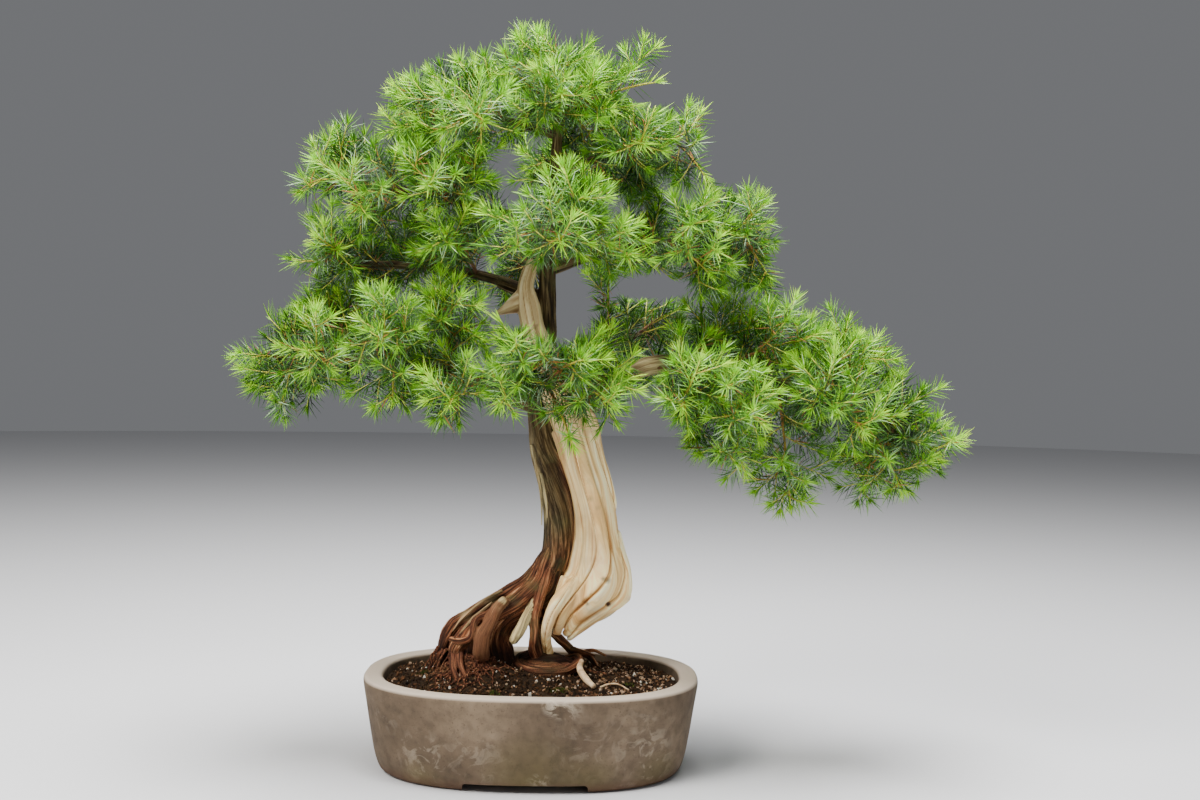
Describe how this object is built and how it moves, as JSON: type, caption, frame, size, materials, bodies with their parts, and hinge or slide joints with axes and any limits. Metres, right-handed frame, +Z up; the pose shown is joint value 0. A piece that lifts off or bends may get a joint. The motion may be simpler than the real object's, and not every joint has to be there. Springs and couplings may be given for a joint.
{
  "type": "needle juniper bonsai",
  "caption": "Bonsai conifer with needles in tufts on layered branches, bent half-bleached trunk, spreading roots and soil in an unglazed oval pot.",
  "frame": {"origin": "middle of the whole object's bounding box in X and Y, at the height of the pot's feet", "axes": "+Z up; +X to the right of the pictured view along the pot's long side, towards the long low branch; +Y away from the viewer"},
  "size_m": [0.6758, 0.3532, 0.6694],
  "materials": {
    "stoneware": "matte",
    "soil": "matte",
    "bark": "matte",
    "bleached_wood": "satin",
    "stick": "matte",
    "needles": "satin"
  },
  "bodies": {
    "root": {"pot": "stoneware", "soil": "soil", "live_wood": "bark", "deadwood": "bleached_wood", "broken_stick": "stick", "spray_right_1": "needles", "spray_right_2": "needles", "spray_right_3": "needles", "spray_right_4": "needles", "spray_right_5": "needles", "spray_right_6": "needles", "spray_right_7": "needles", "spray_right_8": "needles", "spray_right_9": "needles", "spray_right_10": "needles", "spray_right_11": "needles", "spray_right_12": "needles", "spray_low_left_1": "needles", "spray_low_left_2": "needles", "spray_low_left_3": "needles", "spray_low_left_4": "needles", "spray_low_left_5": "needles", "spray_low_left_6": "needles", "spray_low_left_7": "needles", "spray_low_left_8": "needles", "spray_front_1": "needles", "spray_front_2": "needles", "spray_front_3": "needles", "spray_front_4": "needles", "spray_mid_left_1": "needles", "spray_mid_left_2": "needles", "spray_mid_left_3": "needles", "spray_mid_left_4": "needles", "spray_high_left_1": "needles", "spray_high_left_2": "needles", "spray_high_left_3": "needles", "spray_high_left_4": "needles", "spray_front_mid_1": "needles", "spray_front_mid_2": "needles", "spray_front_mid_3": "needles", "spray_mid_right_1": "needles", "spray_mid_right_2": "needles", "spray_mid_right_3": "needles", "spray_mid_right_4": "needles", "spray_high_right_1": "needles", "spray_high_right_2": "needles", "spray_high_right_3": "needles", "spray_top_left_1": "needles", "spray_top_left_2": "needles", "spray_top_left_3": "needles", "spray_trunk_1": "needles", "spray_trunk_2": "needles", "spray_trunk_3": "needles", "spray_trunk_4": "needles", "spray_trunk_5": "needles", "spray_back_right_1": "needles", "spray_back_right_2": "needles", "spray_back_1": "needles", "spray_back_high_1": "needles"}
  },
  "joints": []
}
